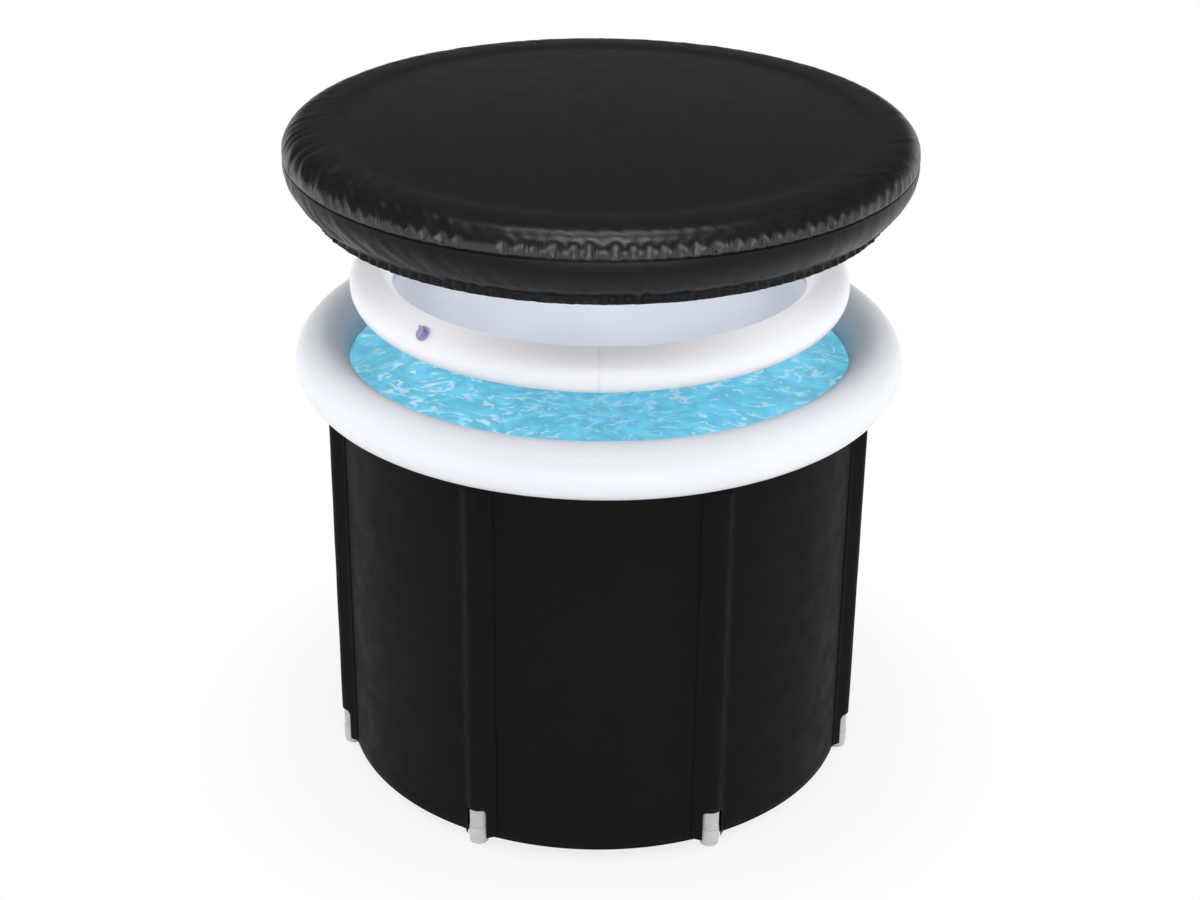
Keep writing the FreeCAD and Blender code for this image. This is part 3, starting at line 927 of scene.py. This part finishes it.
class BATH_OT_sleeves(Operator):
    """Build the seven pole sleeves with their notched feet"""

    bl_idname = "folding_bath.sleeves"
    bl_label = "Sleeves"

    def execute(self, context):
        settings = context.scene.folding_bath
        tub = settings.tub
        half = sleeve_section(tub)
        section = np.concatenate([half[:0:-1] * (-1, 1), half])
        middle = len(half) - 1
        notch_columns, notch_rows = 10, 6
        crown_half, crown_fade, end_fade, looseness = 0.019, 0.010, 0.05, 0.0004
        width = np.abs(section[:, 0])
        corner = np.clip(width - (tub.notch_width / 2 - tub.notch_corner), 0, tub.notch_corner)
        arch = tub.notch_height - tub.notch_corner + np.sqrt(tub.notch_corner**2 - corner**2)
        level = tub.notch_height - tub.notch_corner
        top = tub.wall_top - SLEEVE_MARGIN
        over_notch = np.abs(np.arange(len(section)) - middle) <= notch_columns
        start = tub.wall_foot + np.where(over_notch, arch, level)
        below = tub.wall_foot + level * np.linspace(0, 1, notch_rows, endpoint=False)
        above = start[:, None] + (top - start)[:, None] * np.linspace(0, 1, 46) ** 1.15
        height = np.concatenate([np.tile(below, (len(section), 1)), above], axis=1)
        around = lengths(section)

        def in_notch(column, row):
            return row < notch_rows and -notch_columns <= column - middle < notch_columns

        for number in range(1, POLES + 1):
            angle = (number - 0.5) * STEP
            across = np.array([math.cos(angle), math.sin(angle), 0])
            out = np.array([math.sin(angle), -math.cos(angle), 0])
            loose = smooth((crown_half - width) / crown_fade)[:, None]
            ends = smooth(np.minimum(height - start[:, None], top - height) / end_fade)
            sway = ripple(np.full((1, 1), angle), height * 14, scale=3.0, seed=40.0 + number)
            lift = looseness * loose * ends * sway
            points = (
                section[:, 0][:, None, None] * across
                + (section[:, 1][:, None] + lift)[..., None] * out
                + height[..., None] * np.array([0, 0, 1.0])
            )
            bm = sheet_mesh(points, around, height[0], wrap=False, cut=in_notch)
            made = piece(
                f"sleeve_cloth_{number}", face_towards(bm, outwards), coated_cloth(settings.finishes),
                "tub", [f"sleeve_{number}"], tub.lining - HAIRLINE)
            fold_with_wall(made)
        return {"FINISHED"}


class BATH_OT_poles(Operator):
    """Give the poles, their feet and their caps a satin grey finish"""

    bl_idname = "folding_bath.poles"
    bl_label = "Poles"

    def execute(self, context):
        colours = context.scene.folding_bath.finishes
        for number in range(1, POLES + 1):
            dress(satin_plastic(colours, "tube"), f"pole_tube_{number}", f"pole_cap_{number}")
            dress(satin_plastic(colours, "foot"), f"pole_foot_{number}")
        return {"FINISHED"}


def inflated_tube(radius, tube, height, pucker, weld, seed):
    """An inflated ring, a little uneven, with puckers along the line of its weld."""
    rows = 44
    spread = 0.30
    unevenness = 0.0007
    slimmer = 0.0006
    angle = columns_round(RING_COLUMNS)
    turn = (np.arange(rows) * TURN / rows)[None, :]
    near = np.exp(-((((turn - weld + math.pi) % TURN - math.pi) / spread) ** 2))
    waves = ripple(angle, 0, scale=26, seed=seed) + 0.6 * ripple(angle, 0, scale=55, seed=seed + 4)
    soft = unevenness * ripple(angle, np.sin(turn) * 0.6, scale=2.2, seed=seed + 9)
    size = tube - slimmer + soft - pucker * near * (0.5 + waves)
    points = polar(radius + size * np.cos(turn), angle, height + size * np.sin(turn))
    return tube_mesh(points, once_round(angle, radius), once_round(turn, tube))


def band_mesh(tub, rings):
    """The weld band, from a flat underside up to the curve of the rim's tube."""
    below, above = 5, 9
    closing_edge = 0.09
    inner = tub.wall_radius - BAND_DEPTH
    radius = np.append(np.linspace(inner, BAND_HIGH.x, below), np.linspace(BAND_HIGH.x, inner, above))
    under = np.sqrt(rings.rim_tube**2 - (radius - rings.rim_radius) ** 2)
    upper = rings.rim_height - under - CLEARANCE
    height = np.where(np.arange(below + above) < below, BAND_LOW.z, upper)
    angle = columns_round(240)
    points = polar(radius[None, :], angle, height[None, :])
    return tube_mesh(points, once_round(angle, inner), np.append(lengths(points[0]), closing_edge))


class BATH_OT_rim(Operator):
    """Build the inflated rim and the black weld band under it"""

    bl_idname = "folding_bath.rim"
    bl_label = "Inflated Rim"

    def execute(self, context):
        settings = context.scene.folding_bath
        rings = settings.rings
        girth = round(rings.rim_radius * TURN, 4)
        bm = inflated_tube(
            rings.rim_radius, rings.rim_tube, rings.rim_height, rings.pucker, math.radians(205), 2.0)
        tube = piece(
            "rim_tube", bm, white_vinyl(settings.finishes, "rim", girth, 0.5), "rim",
            ["rim_ring"])
        bm = band_mesh(settings.tub, rings)
        piece("rim_weld_band", bm, coated_cloth(settings.finishes), "rim", ["rim_band"])
        return {"FINISHED"}


def lid_sheet_mesh(rings, drop):
    """The lid's sheet, which sags a little, lies in soft folds and puckers at its weld."""
    fold_depth = 0.0013
    overlap = 0.0006
    angle = columns_round(300)
    reach = rings.lid_radius - math.sqrt(rings.lid_tube**2 - drop**2) + overlap
    share = np.append(np.linspace(0, 0.8, 21), np.linspace(0.815, 1, 15))[None, :]
    sag = -rings.sheet_sag * (1 - share**2)
    held = smooth(share / 0.2) * smooth((1 - share) / 0.25)
    folds = fold_depth * ripple(angle, share * 2.4, scale=1.3, seed=51.0) * held
    gather = ripple(angle, 0, scale=24, seed=3.0) + 0.5 * ripple(angle, 0, scale=50, seed=7.0)
    edge = rings.pucker * 1.2 * gather * np.exp(-(((share - 0.955) / 0.035) ** 2))
    points = polar(reach * share, angle, rings.sheet_height + sag + folds + edge)
    return round_sheet(points, angle, reach, upwards)


class BATH_OT_lid(Operator):
    """Build the inflated lid and its sheet"""

    bl_idname = "folding_bath.lid"
    bl_label = "Inflated Lid"

    def execute(self, context):
        settings = context.scene.folding_bath
        rings = settings.rings
        girth = round(rings.lid_radius * TURN, 4)
        drop = rings.sheet_height - rings.lid_height
        weld = math.pi + math.asin(-drop / rings.lid_tube)
        bm = inflated_tube(
            rings.lid_radius, rings.lid_tube, rings.lid_height, rings.pucker, weld, 30.0)
        tube = piece(
            "lid_tube", bm, white_vinyl(settings.finishes, "lid", girth, 0.0), "lid",
            ["lid_ring"])
        sheet = piece(
            "lid_sheet", lid_sheet_mesh(rings, drop), lid_vinyl(settings.finishes), "lid",
            ["lid_floor"], LID_SHEET_THICKNESS)
        return {"FINISHED"}


def settle(cloth, outward, start, fullness, steps, puff):
    """Cloth with spare length round it buckles into gathers between two held rows."""
    stiffness, pull_share, down_ease = 0.055, 0.45, 1.004
    count, rows = cloth.shape[:2]
    round_length = np.linalg.norm(np.roll(cloth, -1, 0) - cloth, axis=2) * (1 + fullness)
    down_length = np.linalg.norm(np.diff(cloth, axis=1), axis=2) * down_ease
    free = np.ones((1, rows, 1))
    free[:, [0, -1]] = 0
    spots = cloth + free * outward * start[..., None]
    for _ in range(steps):
        bend = np.roll(spots, -1, 0) + np.roll(spots, 1, 0) - 2 * spots
        spots -= free * stiffness * (np.roll(bend, -1, 0) + np.roll(bend, 1, 0) - 2 * bend)
        bend = np.zeros_like(spots)
        bend[:, 1:-1] = spots[:, 2:] + spots[:, :-2] - 2 * spots[:, 1:-1]
        curl = np.zeros_like(spots)
        curl[:, 1:-1] = bend[:, 2:] + bend[:, :-2] - 2 * bend[:, 1:-1]
        spots -= free * stiffness * curl
        spots += free * outward * puff
        for first in (0, 1):
            near = np.arange(first, count, 2)
            far = (near + 1) % count
            gap = spots[far] - spots[near]
            pull = gap * (pull_share * (1 - round_length[near] / np.linalg.norm(gap, axis=2)))[..., None]
            spots[near] += free * pull
            spots[far] -= free * pull
        for first in (0, 1):
            near = np.arange(first, rows - 1, 2)
            far = near + 1
            gap = spots[:, far] - spots[:, near]
            pull = gap * (pull_share * (1 - down_length[:, near] / np.linalg.norm(gap, axis=2)))[..., None]
            spots[:, near] += free[:, near] * pull
            spots[:, far] -= free[:, far] * pull
    return spots


def cloth_normals(points):
    """Outward directions of a smooth cloth shape."""
    round_way = np.roll(points, -1, 0) - np.roll(points, 1, 0)
    normal = np.cross(round_way, np.gradient(points, axis=1))
    normal /= np.linalg.norm(normal, axis=2)[..., None]
    return normal if normal[0, -1] @ points[0, -1] > 0 else -normal


def from_front(angle):
    """Angle from the front, negative on the left."""
    return (angle + math.pi) % TURN - math.pi


def drag_folds(angle, down):
    """Slanting folds of pulled cloth, deepest at the front left."""
    seam_radius, depth = 0.425, 0.0021
    width, length = 0.017, 0.09
    deepest, spread = -0.85, 0.40
    turns = from_front(angle)
    spots = np.broadcast(turns, down)
    values = []
    for turn, fall in spots:
        run = turn * seam_radius
        values.append(noise.noise(((run - 1.1 * fall) / width, (run + 0.7 * fall) / length, 60.0)))
    where = 0.25 + np.exp(-(((turns - deepest) / spread) ** 2))
    return depth * where * np.array(values).reshape(spots.shape)


def ruche(angle):
    """Small waves of the hem, drawn up by its elastic."""
    return 0.0018 * ripple(angle, 0, scale=40, seed=70.0) + 0.0009 * ripple(angle, 0, scale=90, seed=74.0)


def crown_mesh(cover, steps):
    """The cover's top: a low dome whose shoulder is gathered into the seam."""
    first_waves = 0.0016
    puff = 4e-6
    angle = columns_round(COVER_COLUMNS)
    edge_height = cover.crown_height - cover.dome
    still = [0, 0.25, 0.5, 0.7, 0.84]
    shares = np.append(still, np.linspace(0.885, 1, 10))
    turn = np.linspace(0, math.pi / 2, 20)[1:]
    shoulder = cover.seam_radius - cover.flat_radius
    radius = np.append(cover.flat_radius * shares, cover.flat_radius + shoulder * np.sin(turn))
    drop = edge_height - cover.seam_height
    dome = edge_height + cover.dome * (1 - shares**2)
    height = np.append(dome, edge_height - drop * (1 - np.cos(turn)))
    radius[-1] -= SEAM_TUCK
    crown = polar(radius[None, :], angle, height[None, :])
    strip = crown[:, len(still):]
    down = lengths(strip[0])[None, :]
    to_seam = down[0, -1] - down
    # The gathers are fullest at the front, a little to the right of its middle
    fullest, spread = 0.30, 0.75
    front = np.exp(-(((from_front(angle) - fullest) / spread) ** 2))
    uneven = 0.5 * ripple(angle, 0, scale=3.5, seed=3.1) + 0.5 * ripple(angle, 0, scale=9, seed=8.1)
    strength = 0.55 + 0.75 * front + uneven
    reach = 0.027 + 0.005 * front + 0.012 * ripple(angle, 0, scale=6, seed=5.7)
    full = cover.fullness * np.clip(strength, 0.1, 1.6) * (1 - smooth(to_seam / reach))
    start = first_waves * ripple(angle, 4 * down, scale=38, seed=0.0) * np.clip(0.05 + full * 6, 0, 1)
    out = cloth_normals(strip)
    pulled = drag_folds(angle, down) * np.sin(math.pi * (down / down[0, -1]) ** 1.6)
    crown[:, len(still):] = settle(strip, out, start, full, steps, puff) + out * pulled[..., None]
    return round_sheet(crown, angle, cover.seam_radius, upwards)


def skirt_mesh(cover, steps):
    """The cover's skirt: an arc down from the seam, then a short drop over the hem's casing."""
    first_waves = 0.0009
    puff = 2e-6
    above_edge = 0.0006
    angle = columns_round(COVER_COLUMNS)
    run = cover.seam_radius - cover.hem_radius
    drop = cover.seam_height - cover.hem_high
    bend = (run**2 + drop**2) / (2 * run)
    turn = np.linspace(0, math.asin(drop / bend), 25)
    hang = np.linspace(cover.hem_high, cover.hem_low + above_edge, 6)[1:]
    radius = np.append(cover.seam_radius - bend * (1 - np.cos(turn)), 0 * hang)
    radius = np.maximum(radius, cover.hem_radius + cover.hem_width / 2 - CLEARANCE)
    radius[0] -= SEAM_TUCK
    height = np.append(cover.seam_height - bend * np.sin(turn), hang)
    skirt = polar(radius[None, :], angle, height[None, :])
    down = lengths(skirt[0])[None, :]
    to_hem = down[0, -1] - down
    # The hem's waves die away up the skirt
    skirt += polar(ruche(angle) * np.exp(-to_hem / 0.022), angle, 0.0)
    strength = np.clip(0.8 + 0.7 * ripple(angle, 0, scale=3.0, seed=13.1), 0.1, 1.3)
    full = 0.28 * strength * np.exp(-to_hem / 0.015) + 0.05 * np.exp(-down / 0.010)
    start = first_waves * ripple(angle, 8 * down, scale=34, seed=7.0)
    out = cloth_normals(skirt)
    pulled = 0.8 * drag_folds(angle, down + 0.2) * np.sin(math.pi * down / down[0, -1])
    skirt = settle(skirt, out, start, full, steps, puff) + out * pulled[..., None]
    bm = sheet_mesh(skirt, once_round(angle, cover.seam_radius), down.ravel())
    return face_towards(bm, outwards)


def casing_mesh(cover):
    """The hem's casing, a boxy tube that its elastic draws into small waves."""
    rows = 12
    boxy = 0.55
    inset = 0.0016
    wave_height = 0.0008
    section_radius = 0.004
    angle = columns_round(COVER_COLUMNS)
    turn = (np.arange(rows) * TURN / rows)[None, :]
    wide = (cover.hem_width / 2 - inset) * np.sign(np.cos(turn)) * np.abs(np.cos(turn)) ** boxy
    tall = (cover.hem_high - cover.hem_low) / 2 * np.sign(np.sin(turn)) * np.abs(np.sin(turn)) ** boxy
    lift = wave_height * ripple(angle, 0, scale=40, seed=80.0)
    middle = (cover.hem_high + cover.hem_low) / 2
    points = polar(cover.hem_radius + ruche(angle) + wide, angle, middle + lift + tall)
    return tube_mesh(points, once_round(angle, cover.seam_radius), once_round(turn, section_radius))


class BATH_OT_cover(Operator):
    """Build the cover: a gathered top, a skirt and an elastic hem"""

    bl_idname = "folding_bath.cover"
    bl_label = "Gathered Cover"

    def execute(self, context):
        settings = context.scene.folding_bath
        cover = settings.cover
        steps = cover.settle_steps
        finish = cover_cloth(settings.finishes, "crown")
        top = piece(
            "cover_crown", crown_mesh(cover, steps), finish, "cover", ["cover_top"],
            cover.cloth)
        finish = cover_cloth(settings.finishes, "skirt")
        side = piece(
            "cover_side", skirt_mesh(cover, steps), finish, "cover", ["cover_skirt"],
            cover.cloth)
        casing = piece(
            "cover_casing", casing_mesh(cover), finish, "cover",
            ["cover_hem", "cover_elastic"])
        return {"FINISHED"}


class BATH_OT_fittings(Operator):
    """Give the valves, their plugs and the drain their finishes"""

    bl_idname = "folding_bath.fittings"
    bl_label = "Valves and Drain"

    def execute(self, context):
        colours = context.scene.folding_bath.finishes
        dress(soft_lilac(colours), "rim_valve", "rim_plug", "lid_valve", "lid_plug")
        dress(moulded_black(colours), "drain_body", "drain_nut", "drain_cap")
        dress(sealing_rubber(colours), "drain_seal_outer", "drain_seal_inner", "drain_washer")
        return {"FINISHED"}


def staged(name, bm, finish):
    """Links a plain mesh object for the floor or the water."""
    made = mesh_object(name, bm, finish)
    return made


class BATH_OT_water(Operator):
    """Fill the tub with water that moves with the tub"""

    bl_idname = "folding_bath.water"
    bl_label = "Water"

    def execute(self, context):
        settings = context.scene.folding_bath
        tub = settings.tub
        wave_height = 0.0011
        from_wall = 0.0125
        angle = columns_round(240)
        share = np.linspace(0, 1, 41)[None, :]
        reach = tub.wall_radius - from_wall
        waves = wave_height * ripple(angle, share * 7, scale=4.0, seed=90.0) * np.sin(share * math.pi)
        points = polar(reach * share, angle, tub.water_depth + waves)
        bm = round_sheet(points, angle, reach, upwards)
        water = staged("bath_water", bm, bath_water(settings.finishes))
        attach(water, "tub")
        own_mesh(water)
        return {"FINISHED"}


class BATH_OT_stage(Operator):
    """Set the pale floor, the studio lamps and the camera"""

    bl_idname = "folding_bath.stage"
    bl_label = "Stage"

    def floor(self):
        """A white floor that darkens a little under the tub."""
        half_width = 7
        under_feet = 0.0006
        shade_starts, shade_ends, darkest = 0.37, 0.62, 0.80
        bm = bmesh.new()
        bmesh.ops.create_grid(bm, x_segments=8, y_segments=8, size=half_width)
        bmesh.ops.translate(bm, verts=bm.verts, vec=(0, 0, -under_feet))
        finish = Finish("studio_floor")
        away = finish.add("VectorMath", {0: finish.place}, operation="LENGTH").outputs["Value"]
        fade = finish.remap(away, shade_starts, shade_ends, darkest, 1.0)
        glow = finish.times(finish.seen_directly(), fade)
        plain = finish.add("BsdfDiffuse", {"Color": (0.86, 0.86, 0.87, 1)}).outputs[0]
        white = finish.add("Emission", {"Color": (1, 1, 1, 1), "Strength": 1.0}).outputs[0]
        both = finish.add("MixShader", {0: glow, 1: plain, 2: white}).outputs[0]
        finish.put(finish.tree.nodes["Material Output"].inputs["Surface"], both)
        finish.tree.nodes.remove(finish.shader)
        staged("studio_floor", bm, finish.material)

    def surroundings(self, scene, ambient):
        """White for the camera, even light for surfaces and a dim ceiling for reflections."""
        ceiling_starts, ceiling_level = 0.13, 0.06
        world = bpy.data.worlds.new("studio")
        world.use_nodes = True
        scene.world = world
        nodes = Nodes(world.node_tree)
        even = nodes.tree.nodes["Background"]
        nodes.put(even.inputs["Color"], (0.97, 0.985, 1.0, 1))
        nodes.put(even.inputs["Strength"], ambient)
        height = nodes.split(nodes.add("TexCoord").outputs["Generated"])["Z"]
        ceiling = nodes.remap(height, 0.0, ceiling_starts, 1.0, ceiling_level)
        looked_at = nodes.add("LightPath").outputs["Is Camera Ray"]
        strength = nodes.math("MAXIMUM", ceiling, looked_at)
        clean = nodes.add("Background", {"Color": (1, 1, 1, 1), "Strength": strength})
        shaders = {0: nodes.seen_directly(), 1: even.outputs[0], 2: clean.outputs[0]}
        both = nodes.add("MixShader", shaders).outputs[0]
        nodes.put(nodes.tree.nodes["World Output"].inputs["Surface"], both)

    def lamp(self, scene, name, power, size, place, target, shows):
        light = bpy.data.lights.new(name, "AREA")
        light.shape = "RECTANGLE"
        light.size, light.size_y = size
        light.energy = power
        made = bpy.data.objects.new(name, light)
        scene.collection.objects.link(made)
        made.location = place
        aim = Vector(target) - made.location
        made.rotation_euler = aim.to_track_quat("-Z", "Y").to_euler()
        made.visible_camera = False
        made.visible_glossy = shows

    def camera(self, scene, studio):
        camera = bpy.data.cameras.new("photo_camera")
        camera.lens = studio.lens
        camera.shift_x = studio.shift
        eye = bpy.data.objects.new("photo_camera", camera)
        scene.collection.objects.link(eye)
        eye.matrix_world = (
            Matrix.Translation((0, -studio.eye_distance, studio.eye_height))
            @ Matrix.Rotation(math.pi / 2 - studio.eye_pitch, 4, "X")
            @ Matrix.Rotation(studio.eye_roll, 4, "Z")
        )
        scene.camera = eye

    def execute(self, context):
        scene = context.scene
        studio = scene.folding_bath.studio
        self.floor()
        self.surroundings(scene, studio.ambient)
        for name, power, *details in LAMPS:
            self.lamp(scene, name, getattr(studio, power), *details)
        self.camera(scene, studio)
        scene.view_settings.view_transform = "Standard"
        return {"FINISHED"}


class BATH_PT_panel(Panel):
    """Lists the steps that dress the folding bath"""

    bl_label = "Folding Bath"
    bl_idname = "BATH_PT_panel"
    bl_space_type = "VIEW_3D"
    bl_region_type = "UI"
    bl_category = "Folding Bath"

    def draw(self, context):
        settings = context.scene.folding_bath
        steps = self.layout.column(align=True)
        for operator in OPERATORS:
            steps.operator(operator.bl_idname)
        for group in (settings.tub, settings.rings, settings.cover, settings.finishes, settings.studio):
            box = self.layout.box()
            for name in group.__annotations__:
                box.prop(group, name)


GROUPS = (TubSizes, RingSizes, CoverSizes, Finishes, StudioSettings, BathSettings)
OPERATORS = (
    BATH_OT_base, BATH_OT_wall, BATH_OT_sleeves, BATH_OT_poles, BATH_OT_rim, BATH_OT_lid,
    BATH_OT_cover, BATH_OT_fittings, BATH_OT_water, BATH_OT_stage,
)


def register():
    for kind in (*GROUPS, *OPERATORS, BATH_PT_panel):
        bpy.utils.register_class(kind)
    bpy.types.Scene.folding_bath = PointerProperty(type=BathSettings)


def unregister():
    del bpy.types.Scene.folding_bath
    for kind in reversed((*GROUPS, *OPERATORS, BATH_PT_panel)):
        bpy.utils.unregister_class(kind)


def main():
    register()
    bpy.ops.folding_bath.base()
    bpy.ops.folding_bath.wall()
    bpy.ops.folding_bath.sleeves()
    bpy.ops.folding_bath.poles()
    bpy.ops.folding_bath.rim()
    bpy.ops.folding_bath.lid()
    bpy.ops.folding_bath.cover()
    bpy.ops.folding_bath.fittings()
    bpy.ops.folding_bath.water()
    bpy.ops.folding_bath.stage()


if __name__ == "__main__":
    main()
